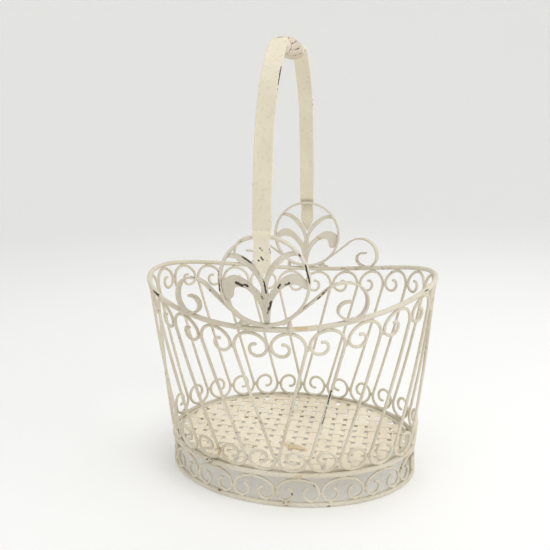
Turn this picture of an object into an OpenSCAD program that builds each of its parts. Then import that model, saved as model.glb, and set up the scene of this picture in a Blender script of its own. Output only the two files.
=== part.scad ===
// Oval wire produce basket: a scrolled wall on a scrolled foot band, a woven strip floor,
// a ring medallion on each long side and a flat bar handle that arches over the middle.
// Frame: the long axis is X, the front is -Y, +Z is up and the basket stands on z = 0.

/* [Oval plan] */
// Half length of the foot and floor rings, to the wire's centre
base_a = 163; // [140:1:180]
// Half width of the foot and floor rings, to the wire's centre
base_b = 112.5; // [95:0.5:125]
// Half length of the rim, to the wire's centre
rim_a = 181.6; // [165:0.2:195]
// Half width of the rim, to the wire's centre
rim_b = 146.5; // [130:0.5:155]

/* [Heights] */
// Height of the floor ring, to the wire's centre
floor_z = 41.6; // [38:0.2:46]
// Height of the rim at the front and back, to the wire's centre
rim_z = 234.4; // [210:0.2:250]
// How much higher the rim is at its two ends
rim_rise = 29.2; // [0:0.2:40]

/* [Wire] */
// Thickness of the foot, floor and rim rings
ring_d = 6; // [5:0.25:7]
// Thickness of the scroll wire
scroll_d = 3.8; // [3:0.1:4]
// Clear space left at each weld
weld_gap = 0.1; // [0.05:0.05:0.3]

/* [Wall scrolls] */
// Number of S scrolls around the wall
wall_count = 24; // [16:4:24]
// Radius of the large arc at the top of a wall scroll
top_arc_r = 19.5; // [16:0.1:19.6]
// Radius of the large arc at the foot of a wall scroll
foot_arc_r = 15.9; // [13:0.1:16]
// How far the row of scrolls is set off toward +X at the front
wall_shift = 3; // [0:0.5:5]

/* [Foot band] */
// Number of C scrolls around the foot band
band_count = 16; // [15:1:17]
// Radius of the flat arc over a C scroll
crown_r = 34; // [30:0.5:36]

/* [Floor] */
// Distance between the middles of neighbouring strips
strip_pitch = 15.5; // [14:0.5:18]
// Width of a strip
strip_w = 10; // [8:0.5:11]
// Thickness of a strip
strip_t = 1.2; // [1:0.1:1.5]
// How far the floor's hoop lies inside the floor ring, between centres
hoop_inset = 8.5; // [8:0.1:9]
// Thickness of the hoop's wire
hoop_d = 5; // [4:0.1:5]

/* [Medallions] */
// Radius of a medallion's hoop, to the middle of its bar
medal_r = 47.8; // [42:0.2:50]
// Thickness of the hoop's bar
medal_t = 3; // [2:0.25:4]
// Width of the hoop's bar, across the wall
medal_w = 8; // [6:0.5:10]
// Thickness of the palmette's leaves
palm_t = 4; // [3:0.5:6]
// Angle at which the palmette leans inside the hoop
palm_tilt = 3; // [0:0.5:4]

/* [Side scrolls] */
// Thickness of a side scroll's bar
side_t = 2.4; // [2:0.1:3]
// Width of a side scroll's bar, across the rim
side_w = 7; // [5:0.5:8]

/* [Handle] */
// Width of the handle's flat bar
strap_w = 20; // [16:1:24]
// Thickness of the handle's flat bar
strap_t = 3; // [2.5:0.25:4]
// Height at which the handle starts to curve
spring_z = 343; // [343:1:360]
// Radius of the handle's long side curves
side_curve_r = 420; // [380:5:460]
// Height of the peak that the legs' upper curves would reach
peak_z = 554.4; // [552:0.2:556]
// How far past the middle each leg's upper curve is centred
cross_over = 7; // [0:1:10]
// How far the handle's legs stand back from its leaf ends
joggle = 3; // [0:0.5:4]
// Angle at which the handle leans toward +X
lean = 1.2; // [0:0.1:2]
// Angle at which the grip tips up toward the rear
tip = 3; // [0:0.5:4]
// Height of the grip's middle
grip_z = 533.5; // [531:0.5:536]
// Length of the grip
grip_len = 117; // [110:1:120]
// Largest radius of the grip, between its flutes
grip_r = 11.2; // [9:0.1:12]

/* [Hidden] */
BODY_COLOR = "#ddd6c6";
GRIP_COLOR = "#cfc4b0";
ARC_STEP = 36;
ROUND_SIDES = 6;
RING_SIDES = 8;
RING_STEPS = 64;
OVAL_STEPS = 120;

ring_r = ring_d / 2;
scroll_r = scroll_d / 2;
hoop_r = hoop_d / 2;
foot_z = ring_r;

// The wall stands on top of the floor ring at the two ends. At the front and back it starts
// between the floor ring and the floor's hoop, so its scrolls rest on both.
wall_inset = 4.5;
wall_a = base_a + 1;
wall_b = base_b - wall_inset;
wall_head = ring_r + scroll_r + weld_gap;

// The medallion stands on the rim, and the handle's bar is fixed to its outer face.
medal_y = rim_b - 1;
medal_out = medal_r + medal_t / 2;
medal_z = rim_z + ring_r + medal_out + weld_gap;
leaf_y = medal_y + medal_w / 2 + strap_t / 2 + weld_gap;
leg_y = leaf_y - joggle;
hoop_top = medal_z + medal_out;
springing = max(spring_z, hoop_top + 6);

// A leg's upper curve starts from its side curve without a corner, and stops at the grip.
curve_y = side_curve_r - leg_y;
peak_h = peak_z - springing;
centre_gap = curve_y - cross_over;
upper_r = (pow(side_curve_r, 2) - pow(centre_gap, 2) - pow(peak_h, 2)) / (2 * (side_curve_r - peak_h));
upper_z = peak_z - upper_r;
meet_angle = atan2(upper_z - springing, centre_gap);
leg_end_y = grip_len / 2 + weld_gap + strap_t / 4;
end_angle = acos((leg_end_y + cross_over) / upper_r);

function two(n) = n < 10 ? str("0", n) : str(n);
WALL_NODES = [for (k = [1 : wall_count]) str("wall_scroll_", two(k))];
BAND_NODES = [for (k = [1 : band_count]) str("band_scroll_", two(k))];

// ---- Vectors ----

function unit(v) = v / norm(v);
function flip(list) = [for (i = [len(list) - 1 : -1 : 0]) list[i]];
function tail(list) = [for (i = [1 : 1 : len(list) - 1]) list[i]];

// ---- Ovals: a place on one is the share w of its perimeter, from the front toward +X ----

function oval_xy(a, b, turn) = [a * sin(turn), -b * cos(turn)];
function oval_table(a, b) = [
    for (
        i = 0, s = 0;
        i <= OVAL_STEPS;
        s = s + norm(oval_xy(a, b, (i + 1) * 360 / OVAL_STEPS)
            - oval_xy(a, b, i * 360 / OVAL_STEPS)),
        i = i + 1
    ) [s, i * 360 / OVAL_STEPS]
];
function table_length(table) = table[len(table) - 1][0];
function oval_at(a, b, table, w) =
    oval_xy(a, b, lookup((w - floor(w)) * table_length(table), table));

BASE_TABLE = oval_table(base_a, base_b);
WALL_TABLE = oval_table(wall_a, wall_b);
RIM_TABLE = oval_table(rim_a, rim_b);
BASE_LENGTH = table_length(BASE_TABLE);
WALL_LENGTH = table_length(WALL_TABLE);
RIM_LENGTH = table_length(RIM_TABLE);

function rim_height(x) = rim_z + rim_rise * pow(x / rim_a, 2);
function rim_at(w) = oval_at(rim_a, rim_b, RIM_TABLE, w);
function outward(w) =
    let (p = rim_at(w))
    unit([p.x / pow(rim_a, 2), p.y / pow(rim_b, 2), 0]);

// Height above the floor ring at which a scroll at the share w rests on it.
function wall_foot(w) =
    let (
        p = oval_at(wall_a, wall_b, WALL_TABLE, w),
        inset = wall_inset * abs(p.y / wall_b * outward(w).y)
    )
    sqrt(pow(ring_r + scroll_r, 2) - pow(inset, 2)) + weld_gap;

// A point of the wall at the share w of the perimeter and the height z.
function wall_at(w, z) =
    let (
        low = oval_at(wall_a, wall_b, WALL_TABLE, w),
        high = rim_at(w),
        v = (z - floor_z) / (rim_height(high.x) - floor_z),
        p = (1 - v) * low + v * high
    )
    [p.x, p.y, z];

// ---- Flat paths: each step is [radius, turn clockwise], or [0, length] for a straight ----

function arc_points(p, heading, r, turn) =
    let (
        n = max(1, ceil(abs(turn) / ARC_STEP)),
        side = sign(turn),
        middle = p + r * side * [sin(heading), -cos(heading)],
        from = heading + 90 * side
    )
    [for (i = [1 : n]) middle + r * [cos(from - turn * i / n), sin(from - turn * i / n)]];
function path(p, heading, steps) =
    len(steps) == 0 ? [p] :
    steps[0][0] == 0 ?
        concat([p], path(p + steps[0][1] * [cos(heading), sin(heading)], heading, tail(steps))) :
        let (arc = arc_points(p, heading, steps[0][0], steps[0][1]))
        concat([p], [for (i = [0 : 1 : len(arc) - 2]) arc[i]],
            path(arc[len(arc) - 1], heading - steps[0][1], tail(steps)));

// ---- Sweeps ----

function round_section(r, sides) =
    [for (j = [0 : sides - 1]) r * [cos((j + 0.5) * 360 / sides), sin((j + 0.5) * 360 / sides)]];
function flat_section(depth, thickness) =
    let (u = depth / 2, v = thickness / 2)
    [[u, -v], [u, v], [-u, v], [-u, -v]];

// Sweeps a section along a path of points. refs gives the direction of the section's first axis
// at each point, and scales gives how much its two axes are stretched there.
module sweep(points, refs, section, closed = false, scales = [[1, 1]]) {
    n = len(points);
    m = len(section);
    loops = closed ? n : n - 1;
    verts = [
        for (i = [0 : n - 1])
            let (
                before = points[closed ? (i + n - 1) % n : max(i - 1, 0)],
                after = points[closed ? (i + 1) % n : min(i + 1, n - 1)],
                t = unit(after - before),
                u = unit(refs[i] - (refs[i] * t) * t),
                v = cross(t, u),
                size = scales[min(i, len(scales) - 1)]
            )
            for (s = section) points[i] + size[0] * s[0] * u + size[1] * s[1] * v
    ];
    sides = [
        for (i = [0 : loops - 1], j = [0 : m - 1], half = [0, 1])
            let (
                a = i * m + j,
                b = ((i + 1) % n) * m + j,
                c = ((i + 1) % n) * m + (j + 1) % m,
                d = i * m + (j + 1) % m
            )
            half == 0 ? [a, b, c] : [a, c, d]
    ];
    caps = closed ? [] : [
        [for (j = [0 : m - 1]) j],
        [for (j = [m - 1 : -1 : 0]) (n - 1) * m + j]
    ];
    polyhedron(verts, concat(sides, caps));
}

// ---- Rings ----

// A ring of wire on an oval, whose height at x is low + rise * (x / a)^2.
module ring(a, b, low, rise, r, sides) {
    points = [
        for (i = [0 : RING_STEPS - 1])
            let (p = oval_xy(a, b, i * 360 / RING_STEPS))
            [p.x, p.y, low + rise * pow(p.x / a, 2)]
    ];
    up = [for (p = points) [0, 0, 1]];
    sweep(points, up, round_section(r / cos(180 / sides), sides), true);
}

module foot_ring() {
    color(BODY_COLOR)
        ring(base_a, base_b, foot_z, 0, ring_r, RING_SIDES);
}

module floor_ring() {
    color(BODY_COLOR)
        ring(base_a, base_b, floor_z, 0, ring_r, ROUND_SIDES);
}

module floor_hoop() {
    color(BODY_COLOR)
        ring(base_a - hoop_inset, base_b - hoop_inset, floor_z, 0, hoop_r, ROUND_SIDES);
}

module rim_ring() {
    color(BODY_COLOR)
        ring(rim_a, rim_b, rim_z, rim_rise, ring_r, RING_SIDES);
}

// ---- Woven floor: a lower layer of strips along X and an upper layer along Y ----

inner_a = base_a - hoop_inset - hoop_r - 0.3;
inner_b = base_b - hoop_inset - hoop_r - 0.3;
long_rows = floor((inner_b - strip_w / 2 - 3) / strip_pitch);
cross_rows = floor((inner_a - strip_w / 2 - 3) / strip_pitch);

module floor_outline() {
    polygon([for (i = [0 : OVAL_STEPS - 1]) oval_xy(inner_a, inner_b, i * 360 / OVAL_STEPS)]);
}

module strips(rows, along_x, low) {
    translate([0, 0, low])
        linear_extrude(strip_t)
            intersection() {
                floor_outline();
                for (i = [-rows : rows])
                    translate(along_x ? [0, i * strip_pitch] : [i * strip_pitch, 0])
                        square(along_x ? [2 * base_a, strip_w] : [strip_w, 2 * base_b], center = true);
            }
}

module floor_strips_long() {
    color(BODY_COLOR)
        strips(long_rows, true, floor_z - strip_t);
}

module floor_strips_cross() {
    color(BODY_COLOR)
        strips(cross_rows, false, floor_z);
}

// ---- Foot band: C scrolls that open downward between the foot ring and the floor ring ----

band_top = floor_z - ring_r - scroll_r - weld_gap;
band_bottom = foot_z + ring_r + scroll_r + weld_gap;
band_half = BASE_LENGTH / band_count / 2 - scroll_r - weld_gap;
crown_turn = 30;
shoulder_r = (band_half - crown_r * sin(crown_turn)) / (1 - sin(crown_turn));
curl_out_r = band_top - band_bottom - crown_r * (1 - cos(crown_turn)) - shoulder_r * cos(crown_turn);

// Half of a C scroll, from the middle of its crown to the end of its curl.
C_HALF = path([0, band_top], 0, [
    [crown_r, crown_turn],
    [shoulder_r, 90 - crown_turn],
    [curl_out_r, 90],
    [9, 110],
    [6.5, 60]
]);

module band_scroll(k) {
    flat = concat(flip([for (p = C_HALF) [-p.x, p.y]]), tail(C_HALF));
    shares = [for (p = flat) (k + 0.5) / band_count + p.x / BASE_LENGTH];
    points = [
        for (i = [0 : len(flat) - 1])
            let (p = oval_at(base_a, base_b, BASE_TABLE, shares[i]))
            [p.x, p.y, flat[i].y]
    ];
    color(BODY_COLOR)
        sweep(points, [for (w = shares) outward(w)], round_section(scroll_r, ROUND_SIDES));
}

// ---- Wall: S scrolls, each with a curl under the rim and a curl on the floor ring ----

// Radii of the arcs that each curl winds in by, after its large arc.
TOP_CURL = [12.2, 7.8, 6];
FOOT_CURL = [13.4, 8.6, 6.6];

// A curl from the stem's end, drawn with its large arc's centre at the origin.
// It opens upward, its stem comes in on the left and it turns clockwise.
function curl(r, slant, radii) =
    path(-r * [cos(slant), sin(slant)], 90 + slant, [
        [r, 150 + slant],
        [radii[0], 120],
        [radii[1], 120],
        [radii[2], 70]
    ]);

// The top curl stands this much farther along the wall than the foot curl.
top_shift = 0.4;

// An S scroll that rests low above the floor ring, under a rim that is high above it.
function s_scroll(low, high) =
    let (
        top = [top_shift, high - wall_head - top_arc_r],
        foot = [0, low + foot_arc_r],
        slant = asin((top_arc_r + foot_arc_r) / norm(top - foot)),
        upper = [for (p = curl(top_arc_r, slant, TOP_CURL)) top + p],
        lower = [for (p = curl(foot_arc_r, slant, FOOT_CURL)) foot - p],
        stem = [for (f = [0.25, 0.5, 0.75]) (1 - f) * lower[0] + f * upper[0]]
    )
    concat(flip(lower), stem, upper);

module wall_scroll(k) {
    quarter = floor(4 * k / wall_count);
    side = quarter % 2 == 0 ? -1 : 1;
    middle = (k + 0.5) / wall_count + wall_shift / RIM_LENGTH;
    high = rim_height(rim_at(middle).x) - floor_z;
    flat = s_scroll(wall_foot(middle), high);
    shares = [
        for (p = flat)
            middle + side * p.x / (WALL_LENGTH + (RIM_LENGTH - WALL_LENGTH) * p.y / high)
    ];
    points = [
        for (i = [0 : len(flat) - 1])
            let (
                z = floor_z + flat[i].y,
                slope = rim_height(rim_at(shares[i]).x) - floor_z - high
            )
            wall_at(shares[i], z + slope * flat[i].y / high)
    ];
    color(BODY_COLOR)
        sweep(points, [for (w = shares) outward(w)], round_section(scroll_r, ROUND_SIDES));
}

// ---- Medallions ----

// Places a medallion's drawing: x across, y up from the hoop's centre, z away from the basket.
module on_medallion(rear) {
    rotate([0, 0, rear ? 180 : 0])
        translate([0, -medal_y, medal_z])
            rotate([90, 0, 0])
                children();
}

module medallion(rear) {
    color(BODY_COLOR)
        on_medallion(rear)
            rotate_extrude($fn = 96)
                translate([medal_r, 0])
                    square([medal_t, medal_w], center = true);
}

// Two forged leaves on each side rise together from the rim. The upper pair opens out under
// the handle's end, and the lower pair curls down inside the hoop.
UPPER_LEAF = [
    [0.1, -47], [0.1, -8], [0.4, 0], [2, 6], [5, 12.5], [10.5, 20], [19, 27], [27, 30.5],
    [33, 31], [39, 29.5], [39, 27], [33, 26.5], [26, 24.5], [18.5, 18.5], [11.5, 11], [7, 4],
    [4, -3], [2.4, -10], [1.9, -20], [1.6, -47]
];
DROOPING_LEAF = [
    [1.8, -47], [2.2, -20], [4.5, -13], [9.5, -7], [17, 0], [25, 6], [33, 8], [41, 5.5],
    [48, 0], [48, -12], [42, -17.5], [36, -18], [34, -14], [33.5, -8], [30, -4.5], [24, -5],
    [17, -8.6], [9.8, -17.5], [5.8, -27], [3.9, -36], [3, -47]
];
ARCHED_LEAF = [
    [1.8, -47], [2.2, -20], [4.5, -13], [9.5, -7], [16, 0], [22, 5], [28, 7.3], [34, 7.6],
    [40, 4.8], [46, -1.5], [48, -4], [48, -9.5], [42, -8.5], [37.5, -5.2], [33, -3.7], [28, -4],
    [22, -5.8], [17, -9.3], [9.8, -17.5], [5.8, -27], [3.9, -36], [3, -47]
];

function lower_leaf(side) = side < 0 ? DROOPING_LEAF : ARCHED_LEAF;

module palmette(rear) {
    color(BODY_COLOR)
        on_medallion(rear)
            rotate([0, 0, palm_tilt])
                translate([0, 0, -palm_t / 2])
                    linear_extrude(palm_t)
                        intersection() {
                            circle(medal_r - medal_t / 2 - weld_gap, $fn = 96);
                            for (side = [-1, 1], leaf = [UPPER_LEAF, lower_leaf(side)])
                                polygon([for (p = leaf) medal_r / 47.8 * [side * p.x, p.y]]);
                        }
}

// ---- Side scrolls, which lean on the medallion and stand on the rim ----

SIDE_PATH = path([20, 6.5], 36, [
    [0, 56],
    [26, 36],
    [33, 35],
    [27, 45],
    [17, 70],
    [13.5, 30],
    [20, 55],
    [8, 95],
    [9, 35],
    [0, 5]
]);

// Stands on the front of the rim, or on its rear, to one side of the medallion's middle.
module side_scroll(rear, side) {
    middle = rear ? 0.5 : 0;
    shares = [for (p = SIDE_PATH) middle + side * p.x / RIM_LENGTH];
    points = [
        for (i = [0 : len(shares) - 1])
            let (p = rim_at(shares[i]))
            [p.x, p.y, rim_height(p.x) + SIDE_PATH[i].y]
    ];
    color(BODY_COLOR)
        sweep(points, [for (w = shares) outward(w)], flat_section(side_w, side_t));
}

// ---- Handle ----

// The strap's leaf ends hang in front of the hoops and taper to a point. Each row is the half
// width of a 20 mm strap and the height above the hoop's top.
LEAF = [
    [0.4, -44], [1.6, -41.5], [3.6, -38], [5.8, -34.5], [7.6, -31], [8.8, -27], [9.3, -22],
    [9, -16], [8.4, -10], [8.2, -6], [8.6, -3.5], [10, -1.5], [10, 0.8]
];
// Height of the bend between a leaf end and its leg.
JOGGLE_H = 4;
SIDE_STEPS = 16;
UPPER_STEPS = 14;

// One bar, from the tip of its leaf to the grip. Each row is the distance from the middle, the
// height, the angle of the outer face above the horizontal and the half width.
BAR = concat(
    [for (p = LEAF) [leaf_y, hoop_top + p.y, 0, p.x * strap_w / 20]],
    [[leg_y, hoop_top + LEAF[len(LEAF) - 1].y + JOGGLE_H, 0, strap_w / 2]],
    [
        for (i = [0 : SIDE_STEPS])
            let (a = meet_angle * i / SIDE_STEPS)
            [side_curve_r * cos(a) - curve_y, springing + side_curve_r * sin(a), a, strap_w / 2]
    ],
    [
        for (i = [1 : UPPER_STEPS])
            let (a = meet_angle + (end_angle - meet_angle) * i / UPPER_STEPS)
            [upper_r * cos(a) - cross_over, upper_z + upper_r * sin(a), a, strap_w / 2]
    ]
);

// The handle's top is turned about the grip's middle. The turn fades out below TIP_FROM.
TIP_FROM = 100;
function tipped(p) =
    let (
        share = (p.z - springing - TIP_FROM) / (grip_z - springing - TIP_FROM),
        a = tip * min(1, max(0, share)),
        z = p.z - grip_z
    )
    [p.x, p.y * cos(a) - z * sin(a), grip_z + p.y * sin(a) + z * cos(a)];

// Leans a direction, and a point above the springing line, toward +X.
function leaned(v) = [v.x * cos(lean) + v.z * sin(lean), v.y, v.z * cos(lean) - v.x * sin(lean)];
function lean_point(p) =
    p.z <= springing ? p :
    [0, 0, springing] + leaned(tipped(p) - [0, 0, springing]);

module handle_bar(side) {
    points = [for (p = BAR) lean_point([0, side * p[0], p[1]])];
    faces = [
        for (p = BAR)
            let (face = [0, side * cos(p[2]), sin(p[2])])
            p[1] <= springing ? face : leaned(face)
    ];
    color(BODY_COLOR)
        sweep(
            points, faces, flat_section(strap_t, strap_w), false,
            [for (p = BAR) [1, 2 * p[3] / strap_w]]
        );
}

// ---- Grip: a fluted spindle between the tops of the two bars, with a collar at each end ----

GRIP_RINGS = 28;
GRIP_SIDES = 24;
FLUTES = 8;
FLUTE_DEPTH = 0.06;

// A smooth collar fills the rest of each end past the fluted body.
BODY_TO = 0.62;
COLLAR_R = 8.8;
NECK_R = 8;

// The grip's radius at t, which runs from -1 at one end to 1 at the other.
function grip_size(t) =
    let (e = abs(t))
    e > BODY_TO ?
        NECK_R + (COLLAR_R - NECK_R) * sin(180 * (e - BODY_TO) / (1 - BODY_TO)) :
        max(NECK_R, grip_r * sqrt(1 - 0.5 * pow(e / BODY_TO, 5)));

module grip() {
    steps = [for (i = [0 : GRIP_RINGS]) 2 * i / GRIP_RINGS - 1];
    sizes = [for (t = steps) grip_size(t)];
    points = [for (t = steps) lean_point([0, t * grip_len / 2, grip_z])];
    section = [
        for (j = [0 : GRIP_SIDES - 1])
            let (a = j * 360 / GRIP_SIDES)
            (1 + FLUTE_DEPTH * cos(FLUTES * a)) * [cos(a), sin(a)]
    ];
    color(GRIP_COLOR)
        sweep(
            points, [for (t = steps) leaned([0, -sin(tip), cos(tip)])], section, false,
            [for (r = sizes) [r, r]]
        );
}

// ---- The basket ----

foot_ring();
floor_ring();
floor_hoop();
floor_strips_long();
floor_strips_cross();
for (k = [0 : band_count - 1])
    band_scroll(k);
for (k = [0 : wall_count - 1])
    wall_scroll(k);
rim_ring();
medallion(false);  // medallion_front
medallion(true);  // medallion_rear
palmette(false);  // palmette_front
palmette(true);  // palmette_rear
side_scroll(false, -1);  // side_scroll_front_left
side_scroll(false, 1);  // side_scroll_front_right
side_scroll(true, 1);  // side_scroll_rear_left
side_scroll(true, -1);  // side_scroll_rear_right
handle_bar(-1);  // handle_bar_front
handle_bar(1);  // handle_bar_rear
grip();
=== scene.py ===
"""Looks of the wire produce basket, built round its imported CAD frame.

Lengths are in millimetres until a mesh is made. X runs along the basket, -Y is its front and
Z is up.
"""

import math

import bmesh
import bpy
import numpy as np
from mathutils import Matrix, Vector
from mathutils.geometry import delaunay_2d_cdt


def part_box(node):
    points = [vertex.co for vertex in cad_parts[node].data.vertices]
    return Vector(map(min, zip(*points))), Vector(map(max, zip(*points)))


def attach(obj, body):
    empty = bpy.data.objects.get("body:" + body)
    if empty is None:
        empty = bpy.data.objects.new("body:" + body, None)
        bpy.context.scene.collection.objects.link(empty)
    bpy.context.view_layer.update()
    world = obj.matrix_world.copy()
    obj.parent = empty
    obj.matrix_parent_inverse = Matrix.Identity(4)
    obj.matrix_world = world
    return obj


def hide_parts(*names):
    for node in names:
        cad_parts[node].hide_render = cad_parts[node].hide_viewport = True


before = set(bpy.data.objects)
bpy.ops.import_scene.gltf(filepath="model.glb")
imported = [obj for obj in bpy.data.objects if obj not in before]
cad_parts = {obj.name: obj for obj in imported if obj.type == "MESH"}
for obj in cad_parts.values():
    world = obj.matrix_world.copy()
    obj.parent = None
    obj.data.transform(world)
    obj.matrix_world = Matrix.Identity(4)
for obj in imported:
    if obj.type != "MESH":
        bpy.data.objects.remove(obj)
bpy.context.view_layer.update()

METRE = 1000.0
UP = np.array([0.0, 0.0, 1.0])


# ---- Sizes, measured on the frame where it shows them ----


def box_of(node):
    low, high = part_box(node)
    return np.array(low) * METRE, np.array(high) * METRE


foot_low, foot_high = box_of("foot_ring")
RING_R = (foot_high[2] - foot_low[2]) / 2
BASE_A = foot_high[0] - RING_R
BASE_B = foot_high[1] - RING_R
FOOT_Z = RING_R

floor_low, floor_high = box_of("floor_ring")
FLOOR_Z = (floor_low[2] + floor_high[2]) / 2

rim_low, rim_high = box_of("rim_ring")
RIM_A = rim_high[0] - RING_R
RIM_B = rim_high[1] - RING_R
RIM_Z = rim_low[2] + RING_R
RIM_RISE = rim_high[2] - rim_low[2] - 2 * RING_R

SCROLL_R = 1.9
HOOP_R = 2.5
HOOP_INSET = 8.5
WELD_GAP = 0.1
WALL_INSET = 4.5
WALL_A = BASE_A + 1
WALL_B = BASE_B - WALL_INSET
WALL_HEAD = RING_R + SCROLL_R + WELD_GAP
WALL_COUNT = len([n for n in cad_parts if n.startswith("wall_scroll_")])
BAND_COUNT = len([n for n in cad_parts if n.startswith("band_scroll_")])

medal_low, medal_high = box_of("medallion_front")
MEDAL_T = 3.0
MEDAL_W = medal_high[1] - medal_low[1]
MEDAL_OUT = (medal_high[2] - medal_low[2]) / 2
MEDAL_R = MEDAL_OUT - MEDAL_T / 2
MEDAL_Y = -(medal_low[1] + medal_high[1]) / 2
MEDAL_Z = (medal_low[2] + medal_high[2]) / 2
palm_low, palm_high = box_of("palmette_front")
PALM_T = palm_high[1] - palm_low[1]
SIDE_T = 2.4
SIDE_W = 7.0

bar_high = box_of("handle_bar_rear")[1]
STRAP_W = 20.0
STRAP_T = 3.0
LEAF_Y = bar_high[1] - STRAP_T / 2
JOGGLE = 3.0
JOGGLE_H = 4.0
LEG_Y = LEAF_Y - JOGGLE
SPRING_Z = 343.0
SIDE_CURVE_R = 420.0
PEAK_Z = 554.4
CROSS_OVER = 7.0
LEAN = math.radians(1.2)
TIP = math.radians(3)
TIP_FROM = 100.0
GRIP_Z = 533.5
GRIP_LEN = 117.0
GRIP_R = 11.2
CURVE_Y = SIDE_CURVE_R - LEG_Y
PEAK_H = PEAK_Z - SPRING_Z
CENTRE_GAP = CURVE_Y - CROSS_OVER
UPPER_R = (SIDE_CURVE_R**2 - CENTRE_GAP**2 - PEAK_H**2) / (2 * (SIDE_CURVE_R - PEAK_H))
UPPER_Z = PEAK_Z - UPPER_R
MEET = math.atan2(UPPER_Z - SPRING_Z, CENTRE_GAP)
LEG_END = math.acos((GRIP_LEN / 2 + WELD_GAP + STRAP_T / 4 + CROSS_OVER) / UPPER_R)
# The bars' ends are rounded off over this length, down to this share of their width.
END_ROUND = 7
END_SHARE = 0.62


# ---- Ovals: a place on one is the share of its perimeter, from the front toward +X ----

OVAL_STEPS = 1440


class Oval:
    def __init__(self, a, b):
        self.a, self.b = a, b
        self.turns = np.linspace(0, 2 * math.pi, OVAL_STEPS + 1)
        xy = self.xy(self.turns)
        gaps = np.linalg.norm(np.diff(xy, axis=0), axis=1)
        self.along = np.concatenate([[0], np.cumsum(gaps)])
        self.length = self.along[-1]

    def xy(self, turn):
        return np.stack([self.a * np.sin(turn), -self.b * np.cos(turn)], axis=-1)

    def at(self, share):
        share = np.asarray(share, float) % 1.0
        return self.xy(np.interp(share * self.length, self.along, self.turns))


BASE = Oval(BASE_A, BASE_B)
WALL = Oval(WALL_A, WALL_B)
RIM = Oval(RIM_A, RIM_B)


def rim_height(x):
    return RIM_Z + RIM_RISE * (x / RIM_A) ** 2


def outward(share):
    p = RIM.at(share)
    v = np.concatenate([p / [RIM_A**2, RIM_B**2], np.zeros(p.shape[:-1] + (1,))], axis=-1)
    return v / np.linalg.norm(v, axis=-1, keepdims=True)


def wall_foot(share):
    inset = WALL_INSET * abs(WALL.at(share)[1] / WALL_B * outward(share)[1])
    return math.sqrt((RING_R + SCROLL_R) ** 2 - inset**2) + WELD_GAP


def wall_at(share, z):
    low, high = WALL.at(share), RIM.at(share)
    v = ((z - FLOOR_Z) / (rim_height(high[..., 0]) - FLOOR_Z))[..., None]
    return np.concatenate([(1 - v) * low + v * high, z[..., None]], axis=-1)


# ---- Flat paths: each step is (radius, degrees clockwise), or (0, length) for a straight ----

STEP = 1.8


def path(start, heading, steps, step=STEP):
    points = [np.array(start, float)]
    h = math.radians(heading)
    for r, amount in steps:
        p = points[-1]
        if r == 0:
            n = max(1, math.ceil(amount / (2 * step)))
            way = np.array([math.cos(h), math.sin(h)])
            points += [p + amount * i / n * way for i in range(1, n + 1)]
            continue
        turn = math.radians(amount)
        side = 1 if turn > 0 else -1
        n = max(3, math.ceil(r * abs(turn) / step))
        middle = p + r * side * np.array([math.sin(h), -math.cos(h)])
        first = h + side * math.pi / 2
        for i in range(1, n + 1):
            a = first - turn * i / n
            points.append(middle + r * np.array([math.cos(a), math.sin(a)]))
        h -= turn
    return np.array(points)


def mirror(points):
    return points * [-1, 1]


# ---- Sections and sweeps ----

FLAT_MARGIN = 0.3


def round_section(r, sides):
    a = (np.arange(sides) + 0.5) * 2 * math.pi / sides
    return r * np.stack([np.cos(a), np.sin(a)], axis=-1)


def flat_section(depth, thickness, corner=0.7, steps=3, spacing=None):
    """A rectangle with rounded corners. Its first axis is depth.

    Each flat has a point just inside its ends, which keeps its shading flat, and more points
    at that spacing where its wear needs them.
    """
    corner = min(corner, depth / 2.2, thickness / 2.2)
    points = []
    for quarter, (sx, sy) in enumerate([(1, 1), (-1, 1), (-1, -1), (1, -1)]):
        centre = np.array([sx * (depth / 2 - corner), sy * (thickness / 2 - corner)])
        arc = []
        for i in range(steps + 1):
            a = math.radians(90 * quarter + 90 * i / steps)
            arc.append(centre + corner * np.array([math.cos(a), math.sin(a)]))
        before = arc[0] - FLAT_MARGIN * np.array([-math.sin(a - math.pi / 2), math.cos(a - math.pi / 2)])
        after = arc[-1] + FLAT_MARGIN * np.array([-math.sin(a), math.cos(a)])
        points += [before, *arc, after]
    if spacing is None:
        return np.array(points)
    dense = []
    for p, q in zip(points, points[1:] + points[:1]):
        n = max(1, math.ceil(np.linalg.norm(q - p) / spacing))
        dense += [p + (q - p) * i / n for i in range(n)]
    return np.array(dense)


def edge_wear(verts, section, amount):
    """How much more the vertices near a bar's corners are worn than those on its flats."""
    half = np.abs(section).max(0)
    near = np.min(half - np.abs(section), axis=1) < 0.5
    both = np.sum(half - np.abs(section) < 0.9, axis=1) == 2
    return np.tile(np.where(near & both, amount, 0.0), len(verts) // len(section))


def wobble(along, seed, reach, wave):
    """Smooth random variation along a length, the same in each run."""
    rng = np.random.default_rng(seed)
    total = np.zeros_like(along)
    for octave in range(3):
        phase, bend = rng.uniform(0, 2 * math.pi, 2)
        total += np.sin(along * 2 * math.pi * (octave + 1) / wave + phase) / (octave + 1)
        total += 0.5 * np.sin(along * 2 * math.pi * 1.618 * (octave + 1) / wave + bend)
    return reach * total / 2.5


def unit(v):
    return v / np.linalg.norm(v, axis=-1, keepdims=True)


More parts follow.
